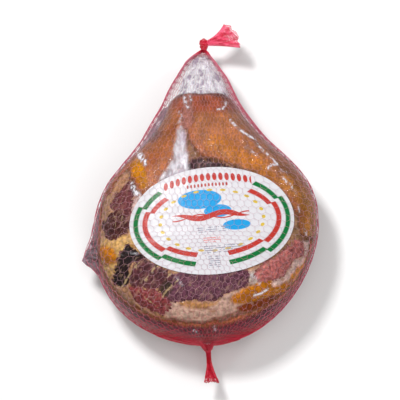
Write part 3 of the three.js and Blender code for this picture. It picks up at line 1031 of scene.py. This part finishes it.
def label_finish(settings):
    """White paper with two broken bands, plain ovals, a ribbon, beads, dots and ruled lines."""
    finish = Finish("printed_label")
    print_map = finish.add("ShaderNodeUVMap", uv_map="print").outputs[0]
    # Millimetres from the label's middle
    place = finish.add(
        "ShaderNodeMapping",
        {"Vector": print_map, "Location": (-LABEL_LENGTH / 2, -LABEL_WIDTH / 2, 0),
         "Scale": (LABEL_LENGTH, LABEL_WIDTH, 1)},
    ).outputs[0]
    parts = finish.add("ShaderNodeSeparateXYZ", {0: place})
    x, y = parts.outputs[0], parts.outputs[1]
    angle = finish.math("ARCTAN2", y, x)

    def squares(across, up):
        return finish.math(
            "ADD", finish.math("MULTIPLY", across, across), finish.math("MULTIPLY", up, up)
        )

    def oval(a, b, x0=0.0, y0=0.0, edge=0.02):
        """1 inside an oval of half sizes a and b, else 0."""
        across = finish.math("DIVIDE", finish.math("SUBTRACT", x, x0), a)
        up = finish.math("DIVIDE", finish.math("SUBTRACT", y, y0), b)
        radius = squares(across, up)
        return finish.step(radius, 1 - edge, 1 + edge, 1.0, 0.0)

    def band(a, b, width):
        """1 on an oval line of some width."""
        return finish.math(
            "SUBTRACT", oval(a + width / 2, b + width / 2), oval(a - width / 2, b - width / 2)
        )

    def turned(low, high):
        """1 where the angle round the middle, in degrees, is between low and high."""
        above = finish.step(angle, math.radians(low - 0.3), math.radians(low + 0.3))
        below = finish.step(angle, math.radians(high - 0.3), math.radians(high + 0.3), 1.0, 0.0)
        return both(above, below)

    def box(x0, x1, y0, y1):
        """1 inside an upright rectangle."""
        sides = both(finish.step(x, x0, x0 + 0.6), finish.step(x, x1 - 0.6, x1, 1, 0))
        ends = both(finish.step(y, y0, y0 + 0.6), finish.step(y, y1 - 0.6, y1, 1, 0))
        return both(sides, ends)

    def either(*parts):
        total = parts[0]
        for part in parts[1:]:
            total = finish.math("MAXIMUM", total, part)
        return total

    def both(a, b):
        return finish.math("MULTIPLY", a, b)

    def bead_row(pitch, half_width, half_height, middle, sag, x0, x1):
        """A bowed row of plain upright beads."""
        level = finish.math("SUBTRACT", middle, finish.math("MULTIPLY", both(x, x), sag))
        up = finish.math("DIVIDE", finish.math("SUBTRACT", y, level), half_height)
        across = finish.math("DIVIDE", finish.math("PINGPONG", x, pitch / 2), half_width)
        bead = finish.step(squares(across, up), 0.85, 1.15, 1.0, 0.0)
        return both(bead, box(x0, x1, 0, 100))

    # Each band has two long pieces at the ends of the oval and four short ones, set further in
    green = either(
        both(band(94.5, 60, 6.0), either(turned(163.5, 181), turned(-181, -148), turned(-33, 16))),
        both(band(89.5, 55, 6.0), either(
            turned(146, 165), turned(-149, -115), turned(-72.5, -32), turned(15, 37.7))),
    )
    red = either(
        both(band(83, 48.5, 6.4), either(turned(167, 181), turned(-181, -152.5), turned(-26, 13))),
        both(band(78, 43.5, 6.0), either(
            turned(149, 168), turned(-153, -117.5), turned(-69, -26), turned(12, 34.7))),
    )
    beads = bead_row(7.6, 2.7, 4.9, 55.0, 0.0028, -57.0, 53.2)
    small_beads = bead_row(4.4, 1.25, 2.3, 44.8, 0.0012, -28.6, 24.2)

    ovals = ((27, 12, -13, 27), (17, 8, 8, 11), (17, 6.5, 30, -8))
    blue = either(*(oval(*sizes, edge=0.05) for sizes in ovals))

    wave = finish.math("MULTIPLY", finish.math("SINE", finish.math("DIVIDE", x, 9.5)), 3.0)
    level = finish.math("ABSOLUTE", finish.math("SUBTRACT", finish.math("SUBTRACT", y, wave), 6.0))
    taper = finish.step(finish.math("ABSOLUTE", x), 24.0, 50.0, 3.4, 0.2)
    ribbon = finish.step(finish.math("SUBTRACT", level, taper), -0.4, 0.4, 1.0, 0.0)
    fold = finish.math("ABSOLUTE", finish.math("SUBTRACT", finish.math("ADD", y, wave), 5.0))
    under_fold = finish.step(fold, 0.5, 1.1, 1.0, 0.0)
    ribbon = both(either(ribbon, under_fold), box(-49, 47, -8, 22))

    turn = finish.math("ARCTAN2", finish.math("DIVIDE", y, 38.0), finish.math("DIVIDE", x, 64.0))
    radius = finish.math(
        "SQRT", squares(finish.math("DIVIDE", x, 64.0), finish.math("DIVIDE", y, 38.0))
    )
    along = finish.math("MULTIPLY", finish.math("PINGPONG", turn, math.pi / 24), 50 / 2.9)
    across = finish.math("MULTIPLY", finish.math("SUBTRACT", radius, 1.0), 50 / 1.9)
    dots = finish.step(squares(along, across), 0.8, 1.2, 1.0, 0.0)

    lines = finish.step(finish.math("PINGPONG", y, 1.3), 0.5, 0.9)
    broken = finish.step(finish.noise(3.2, 1.0), 0.40, 0.50)
    ruled = both(lines, broken)
    grey = both(ruled, either(box(-20, 20, -15, -8), box(-18, 38, -42, -31), box(-9, 6, -59, -44)))
    pink = both(ruled, box(-13, 9, -28, -21))

    clouds = finish.noise(26, 3.0)
    colour = finish.blotched(settings.paper, clouds, 0.3, 0.75, 0.35, (0.66, 0.65, 0.70))
    for share, ink in (
        (blue, settings.blue), (dots, (0.62, 0.44, 0.06)), (grey, (0.30, 0.31, 0.38)),
        (pink, (0.70, 0.25, 0.25)), (small_beads, (0.42, 0.06, 0.05)), (green, settings.green),
        (either(red, ribbon, beads), settings.red),
    ):
        colour = finish.mix(share, colour, ink)
    normal = finish.bump(finish.noise(9, 3.0), 0.7)
    shader = finish.principled(Base_Color=colour, Roughness=0.34, Normal=normal)
    shader.inputs["Specular IOR Level"].default_value = 0.25
    return finish.wear(shader)


class HAM_OT_label(Operator):
    """Model the oval label between the bag and the net"""

    bl_idname = "ham.label"
    bl_label = "Label"

    def execute(self, context):
        deselect()
        bpy.ops.mesh.primitive_grid_add(x_subdivisions=110, y_subdivisions=74, size=2)
        piece = named("oval_label")
        unit = points_of(piece) * MM
        across = unit[:, 0] * np.sqrt(1 - unit[:, 1] ** 2 / 2)
        up = unit[:, 1] * np.sqrt(1 - unit[:, 0] ** 2 / 2)
        print_map = piece.data.uv_layers.new(name="print")
        corners = np.empty(len(piece.data.loops), int)
        piece.data.loops.foreach_get("vertex_index", corners)
        print_map.data.foreach_set("uv", np.stack([across, up], axis=1)[corners].ravel() / 2 + 0.5)
        flat = np.stack([across * LABEL_LENGTH / 2, up * LABEL_WIDTH / 2], axis=1) * LABEL_DRAWN
        turn = np.array([[math.cos(LABEL_TURN), -math.sin(LABEL_TURN)],
                         [math.sin(LABEL_TURN), math.cos(LABEL_TURN)]])
        flat = flat @ turn.T + LABEL_MIDDLE[:2]
        film = bpy.data.objects["bag_film"]
        under = BVHTree.FromPolygons(
            [Vector(p) for p in points_of(film)], [tuple(f.vertices) for f in film.data.polygons]
        )
        low = surface_of("label")
        heights = []
        for px, py in flat:
            hit = low.ray_cast(Vector((px, py, 400)), Vector((0, 0, -1)))
            if hit[0] is None:
                inward = Vector(LABEL_MIDDLE[:2]).lerp(Vector((px, py)), 0.985)
                hit = low.ray_cast(Vector((*inward, 400)), Vector((0, 0, -1)))
            floor = under.ray_cast(Vector((px, py, 400)), Vector((0, 0, -1)))[0].z + 0.65
            heights.append(max(floor, (hit[0].z if hit[0] is not None else floor) - 1.9))
        places = np.c_[flat, heights]
        places[:, 2] += 0.25 * lumps(places, (26, 12, 20), 31, 2)
        move_points(piece, places)
        modify(piece, "SMOOTH", factor=0.5, iterations=6)
        modify(piece, "SOLIDIFY", thickness=0.3 * MM, offset=0.0)
        piece.data.materials.append(label_finish(context.scene.ham_label))
        finish_piece(piece, "paper", "label", angle=50)
        return {"FINISHED"}


# ---- the net ------------------------------------------------------------------------------------

NEAR_WALL_Y = -130.0  # a ray through the net's lower opening meets the far wall beyond this
CELL = 10.8  # width of a cell where the net is widest, in mm
ROW = CELL * math.sqrt(3) / 2  # height of a row of such cells


def net_finish(settings):
    """Red plastic strands, pale where they lie alone and deep red where they bunch."""
    finish = Finish("red_netting")
    shade = finish.step(finish.noise(3.0, 2.0), 0.3, 0.7, 0.78, 1.2)
    y = finish.add("ShaderNodeSeparateXYZ", {0: finish.millimetres()}).outputs[1]
    ends = finish.math("MAXIMUM", finish.step(y, -165, -125, 1.0, 0.0), finish.step(y, 188, 200))
    colour = finish.mix(finish.painted("tight"), settings.single, (0.56, 0.10, 0.16))
    colour = finish.mix(ends, colour, settings.bunched)
    shader = finish.principled(Base_Color=finish.shaded(colour, shade), Roughness=0.38)
    return finish.wear(shader)


def bundle_finish(name, bright):
    """The same red plastic in a dense bunch, with painted light and shade for its folds."""
    finish = Finish(name)
    shade = finish.step(finish.noise(4.5, 3.0, (0.4, 1, 1)), 0.34, 0.62)
    colour = finish.mix(shade, (bright[0] * 0.72, bright[1] * 0.25, bright[2] * 0.3), bright)
    colour = finish.blotched(colour, finish.noise(1.2, 2.0), 0.60, 0.75, 0.5, (0.85, 0.25, 0.32))
    weave = finish.bump(finish.noise(0.9, 2), 0.4)
    return finish.wear(finish.principled(Base_Color=colour, Roughness=0.35, Normal=weave))


def cell_sheet(name, around, rows):
    """A flat sheet of six-sided cells, one cell copied round and along, in millimetres."""
    deselect()
    bpy.ops.mesh.primitive_circle_add(
        vertices=6, radius=CELL / math.sqrt(3) * MM, fill_type="NGON", location=(0, 0, 0)
    )
    piece = named(name)
    settle(piece)
    for count, offset in ((around, (CELL, 0, 0)), (rows, (CELL / 2, ROW, 0))):
        modify(
            piece, "ARRAY", count=count, use_relative_offset=False, use_constant_offset=True,
            constant_offset_displace=[value * MM for value in offset],
        )
        edit(piece, (bpy.ops.mesh.remove_doubles, {"threshold": 0.2 * MM}))
    return piece


class SleeveSurface:
    """The drawn-tight form of the net: places from the gather, share 0, to the knot, share 1."""

    HEART = Vector((0, -48, 62))
    GATHER = Vector((1, NET_LOW[1], 44))
    BUTT_SHARE = 0.43  # of the way along, where the net has its full width
    FIRST_ANGLE = 2.3  # of the opening at the gather, in degrees
    TURNS, STATIONS = 144, 200

    def __init__(self):
        net, ham = surface_of("net_sleeve"), surface_of("ham")
        self.reach = np.empty((self.TURNS, self.STATIONS + 1))
        for row in range(self.TURNS):
            for column in range(self.STATIONS + 1):
                start, aim = self.ray(2 * math.pi * row / self.TURNS, column / self.STATIONS)
                hit = net.ray_cast(start + aim * 400, -aim)[0]
                reach = (hit - start).length if hit is not None else 4.0
                if aim.x < -0.3:
                    meat = ham.ray_cast(start + aim * 400, -aim)[0]
                    if meat is not None and hit is not None and meat.y < 40:
                        bare = (meat - start).length + 3.2
                        reach = bare + max(0.0, reach - bare) * corner_share(hit.y)
                self.reach[row, column] = reach
        along = np.linspace(0, 1, self.STATIONS + 1)
        taut = ease((along - 0.70) / 0.08) * ease((0.93 - along) / 0.05)
        for _ in range(40):
            eased = self.reach.copy()
            eased[:, 1:-1] = (self.reach[:, :-2] + 2 * self.reach[:, 1:-1] + self.reach[:, 2:]) / 4
            self.reach += (eased - self.reach) * taut

    def ray(self, turn, share):
        """Start and aim of the line on which the net's place is found."""
        aim = Vector((math.cos(turn), 0, math.sin(turn)))
        if share < self.BUTT_SHARE:
            opening = self.FIRST_ANGLE + (90 - self.FIRST_ANGLE) * share / self.BUTT_SHARE
            opening = math.radians(opening)
            to_gather = (self.GATHER - self.HEART).normalized()
            spread = aim * math.sin(opening) + to_gather * math.cos(opening)
            return self.HEART, spread.normalized()
        onward = (share - self.BUTT_SHARE) / (1 - self.BUTT_SHARE)
        y = self.HEART.y + (NET_HIGH[1] - self.HEART.y) * onward
        return Vector((-4.5 * onward, y, 62 - 10 * float(ease(onward)))), aim

    def at(self, turn, share, under=0.0):
        """The place on the net at a turn and share, a little way under its outside."""
        row = turn / (2 * math.pi) * self.TURNS
        column = min(max(share, 0.0), 1.0) * self.STATIONS
        row_low, column_low = math.floor(row), min(int(column), self.STATIONS - 1)
        u, v = row - row_low, column - column_low
        near, far = self.reach[row_low % self.TURNS], self.reach[(row_low + 1) % self.TURNS]
        reach = (near[column_low] * (1 - v) + near[column_low + 1] * v) * (1 - u)
        reach += (far[column_low] * (1 - v) + far[column_low + 1] * v) * u
        start, aim = self.ray(turn, share)
        spot = start + aim * (reach - under)
        spot.z = max(spot.z, under * 1.1)
        return spot


def wrap_net(name, around, rows, place, strand):
    """A tube of netting: a sheet of cells laid on the places that place(turn, share) gives."""
    piece = cell_sheet(name, around, rows)
    points = points_of(piece)
    low, high = points[:, 1].min(), points[:, 1].max()
    turns = points[:, 0] / (CELL * around) * 2 * math.pi
    shares = (points[:, 1] - low) / (high - low)
    move_points(piece, [place(turn, share) for turn, share in zip(turns, shares)])
    edit(piece, (bpy.ops.mesh.remove_doubles, {"threshold": 0.01 * MM}))
    points, normals = points_of(piece), normals_of(piece)
    tight = 1 - ease((np.abs(normals[:, 2]) - 0.30) / 0.5)
    tight[points[:, 2] < 58] = 1
    tight = np.maximum(tight, ease((-points[:, 1] - 158) / 18))
    tight = np.maximum(tight, ease((points[:, 1] - 186) / 12))
    bunch = piece.vertex_groups.new(name="bunched")
    for index, share in enumerate(tight):
        bunch.add([index], float(share), "REPLACE")
    tree = KDTree(len(points))
    for index, point in enumerate(points):
        tree.insert(point, index)
    tree.balance()
    modify(
        piece, "WIREFRAME", thickness=strand, offset=0.0, use_even_offset=False,
        use_boundary=True, use_replace=True, vertex_group="bunched", thickness_vertex_group=0.37,
    )
    paint(piece, "tight", tight[[tree.find(point)[1] for point in points_of(piece)]])
    return piece


class HAM_OT_net(Operator):
    """Model the net's sleeve from the gather at the butt to the knot at the shank"""

    bl_idname = "ham.net"
    bl_label = "Net"

    def execute(self, context):
        settings = context.scene.ham_net
        shell = SleeveSurface()

        def place(turn, share):
            wave = 0.022 * math.sin(2 * turn + 9 * share) + 0.012 * math.sin(5 * turn - 14 * share)
            return shell.at(turn + 2.0 * wave, share, settings.strand / MM * 0.6)

        piece = wrap_net(
            "net_strands", settings.cells_around, settings.rows, place, settings.strand
        )
        piece.data.materials.append(net_finish(settings))
        finish_piece(piece, "net", "net_sleeve", angle=60)
        return {"FINISHED"}


class HAM_OT_net_ends(Operator):
    """Model the knot, the fanned tail at the shank and the bunched tail at the butt"""

    bl_idname = "ham.net_ends"
    bl_label = "Knot and tails"

    def execute(self, context):
        settings = context.scene.ham_net
        dense = bundle_finish("red_net_bunch", settings.bunched)
        spread = bundle_finish("red_net_fan", (0.95, 0.15, 0.27))
        for piece, node, finish in (
            (self.knot(), "net_top_knot", dense),
            (self.fan(settings), "net_top_tail", spread),
            (self.tail(settings), "net_bottom_tail", dense),
            (self.feeder(settings), None, dense),
        ):
            piece.data.materials.append(finish)
            if node:
                finish_piece(piece, "net", node, angle=60)
            else:
                finish_piece(piece, "net", angle=60)
        return {"FINISHED"}

    def knot(self):
        """Two wraps of bunched net round a short stub."""
        middle = (KNOT_LOW + KNOT_HIGH) / 2
        base = Vector((middle[0], NET_HIGH[1] - 2.5, middle[2]))
        deselect()
        bpy.ops.mesh.primitive_uv_sphere_add(segments=36, ring_count=26, radius=1)
        core = named("net_knot")
        core.scale = (4.4 * MM, 9.5 * MM, 4.4 * MM)
        core.location = (base + Vector((0, 8.5, 0))) * MM
        settle(core)
        wraps = [core]
        for shift, tilt, size in ((10.5, 24, 3.9), (13.2, -20, 3.6), (7.2, -8, 3.3)):
            deselect()
            bpy.ops.mesh.primitive_torus_add(
                major_radius=size * MM, minor_radius=1.9 * MM, major_segments=48, minor_segments=18,
                location=(base + Vector((0, shift, 0))) * MM,
                rotation=(math.radians(90 + tilt * 0.6), math.radians(tilt), 0),
            )
            wrap = named("knot_wrap")
            settle(wrap)
            wraps.append(wrap)
        deselect()
        for wrap in wraps:
            wrap.select_set(True)
        bpy.context.view_layer.objects.active = core
        bpy.ops.object.join()
        points, normals = points_of(core), normals_of(core)
        around = np.arctan2(points[:, 2] - middle[2], points[:, 0] - middle[0])
        twist = np.sin(points[:, 1] * 2.2 + around * 5)
        move_points(core, points + normals * (0.35 * twist + 0.35 * lumps(points, 3, 41))[:, None])
        return core

    def fan(self, settings):
        """The net beyond the knot, pleated and spread to one side."""
        root = Vector((KNOT_HIGH[0] - 2.5, 210.0, 53.2))

        def place(turn, share):
            side = (1 + math.cos(turn)) / 2  # 0 at the lower edge of the fan, 1 at the upper
            swing = math.radians(-9 + 56 * side) * (0.55 + 0.45 * share)
            pleat = math.sin(7 * turn + 1.3) + 0.5 * math.sin(13 * turn)
            reach = (41.5 - 10 * side**1.5) * share * (1 + 0.03 * pleat * share)
            thick = 2.4 + (5.6 + 1.1 * pleat) * share**0.8
            return root + Vector((
                reach * math.cos(swing) - 2.4 * math.cos(turn) * math.sin(swing) * (1 - share),
                reach * math.sin(swing) + 2.6 * math.cos(turn) * (1 - share),
                thick * math.sin(turn) + 4.0 * share,
            ))

        return wrap_net("net_fan", 60, 13, place, settings.strand * 1.3)

    def tail(self, settings):
        """The bunched net below the gather."""
        top = Vector((1, BOTTOM_TAIL_HIGH[1] + 6, 44))
        bend = Vector((1.6, -196, 42.6))
        tip = Vector((6.0, BOTTOM_TAIL_LOW[1] + 1.5, BOTTOM_TAIL_LOW[2] + 5.8))

        def place(turn, share):
            middle = top.lerp(bend, share).lerp(bend.lerp(tip, share), share)
            pleat = 1 + 0.22 * math.sin(5 * turn + 4 * share)
            waist = 3.6 * math.sin(math.pi * min(share * 0.9 + 0.12, 1))
            radius = (5.2 - waist + 2.4 * share**2) * pleat
            drop = 1.2 * math.sin(3 * turn) * share**3
            return middle + Vector((radius * math.cos(turn), drop, 0.8 * radius * math.sin(turn)))

        return wrap_net("net_tail", 22, 10, place, settings.strand * 2)

    def feeder(self, settings):
        """Strands drawn together on the butt, which lead into the gather."""
        surface = surface_of("net_sleeve")
        deselect()
        bpy.ops.curve.primitive_bezier_curve_add(radius=1)
        piece = named("net_feeder")
        settle(piece)
        curves = piece.data
        curves.splines.clear()
        curves.dimensions = "3D"
        curves.bevel_depth = 0.5 * MM
        curves.bevel_resolution = 1
        curves.use_fill_caps = True
        gather = Vector((1, NET_LOW[1] - 4, 44))
        strands, steps = 38, 12
        for number in range(strands):
            turn = 2 * math.pi * number / strands + 0.12 * math.sin(number * 2.4)
            longest = 62 if math.cos(turn) < 0 else 36
            length = 17 + (longest - 17) * abs(math.cos(turn)) ** 1.6
            length += 5 * math.sin(number * 4.1)
            aim = Vector((math.cos(turn), 0, math.sin(turn)))
            path = [gather + aim * 1.6]
            for step in range(1, steps + 1):
                reach = length * (step / steps) ** 1.2
                start = gather + aim * reach - Vector((0, 200, 0))
                hit = surface.ray_cast(start, Vector((0, 1, 0)))[0]
                if hit is not None and hit.y < NEAR_WALL_Y:
                    path.append(hit - Vector((0, 0.2, 0)))
            spline = curves.splines.new("POLY")
            spline.points.add(len(path) - 1)
            for point, spot in zip(spline.points, path):
                point.co = (*(spot * MM), 1)
        pick(piece)
        bpy.ops.object.convert(target="MESH")
        return bpy.context.object


# ---- the stage ----------------------------------------------------------------------------------


def floor_finish():
    """A plain pale floor."""
    finish = Finish("pale_floor")
    colour = finish.mix(finish.noise(300, 2.0), (0.90, 0.90, 0.90), (0.93, 0.93, 0.93))
    return finish.wear(finish.principled(Base_Color=colour, Roughness=0.8))


class HAM_OT_stage(Operator):
    """Set the floor, the lights and the camera"""

    bl_idname = "ham.stage"
    bl_label = "Stage"

    def execute(self, context):
        settings = context.scene.ham_stage
        deselect()
        bpy.ops.mesh.primitive_plane_add(size=14, location=(0, 0, 0))
        floor = named("floor")
        floor.data.materials.append(floor_finish())

        world = bpy.data.worlds.new("surround")
        world.use_nodes = True
        world.node_tree.nodes["Background"].inputs[0].default_value = (1, 1, 1, 1)
        world.node_tree.nodes["Background"].inputs[1].default_value = settings.surround
        context.scene.world = world
        context.scene.view_settings.view_transform = "Standard"

        middle = Vector((-8.75, 7.7, 50)) * MM
        for name, place, size, power in (
            ("key", (-0.50, 0.52, 1.58), 0.30, settings.key),
            ("top", (0.05, -0.25, 1.9), 1.0, settings.key * 0.34),
            ("fill", (0.45, -1.25, 0.85), 0.9, settings.key * 0.32),
            ("edge", (0.95, 0.75, 0.75), 0.2, settings.key * 0.16),
        ):
            light = bpy.data.lights.new(name, "AREA")
            light.size = size
            light.energy = power
            lamp = bpy.data.objects.new(name, light)
            lamp.location = place
            lamp.rotation_euler = (middle - lamp.location).to_track_quat("-Z", "Y").to_euler()
            lamp.visible_glossy = name in ("key", "edge")  # the broad lights leave no sheen on film
            context.scene.collection.objects.link(lamp)

        camera = bpy.data.cameras.new("camera")
        camera.lens = settings.lens
        away = settings.view_width * settings.lens / camera.sensor_width
        holder = bpy.data.objects.new("camera", camera)
        holder.location = middle + Vector(
            (0, -math.cos(settings.elevation) * away, math.sin(settings.elevation) * away)
        )
        holder.rotation_euler = (math.pi / 2 - settings.elevation, 0, 0)
        context.scene.collection.objects.link(holder)
        context.scene.camera = holder
        return {"FINISHED"}


# ---- panel and registration ---------------------------------------------------------------------


class HAM_PT_panel(Panel):
    """Lists the pieces in the order in which they are made."""

    bl_idname = "HAM_PT_panel"
    bl_label = "Cured ham"
    bl_space_type = "VIEW_3D"
    bl_region_type = "UI"
    bl_category = "Ham"

    def draw(self, context):
        for operator, settings in STEPS:
            box = self.layout.box()
            box.operator(operator.bl_idname)
            group = getattr(context.scene, settings)
            for key in group.__annotations__:
                box.prop(group, key)


GROUPS = {
    "ham_meat": HamSettings,
    "ham_bag": BagSettings,
    "ham_label": LabelSettings,
    "ham_net": NetSettings,
    "ham_stage": StageSettings,
}
STEPS = [
    (HAM_OT_meat, "ham_meat"),
    (HAM_OT_bag, "ham_bag"),
    (HAM_OT_label, "ham_label"),
    (HAM_OT_net, "ham_net"),
    (HAM_OT_net_ends, "ham_net"),
    (HAM_OT_stage, "ham_stage"),
]
CLASSES = [*GROUPS.values(), *(operator for operator, _ in STEPS), HAM_PT_panel]


def register():
    for kind in CLASSES:
        bpy.utils.register_class(kind)
    for key, group in GROUPS.items():
        setattr(bpy.types.Scene, key, PointerProperty(type=group))


def unregister():
    for key in GROUPS:
        delattr(bpy.types.Scene, key)
    for kind in reversed(CLASSES):
        bpy.utils.unregister_class(kind)


def main():
    """Makes every piece in order."""
    register()
    for operator, _ in STEPS:
        group, name = operator.bl_idname.split(".")
        getattr(getattr(bpy.ops, group), name)()


if __name__ == "__main__":
    main()
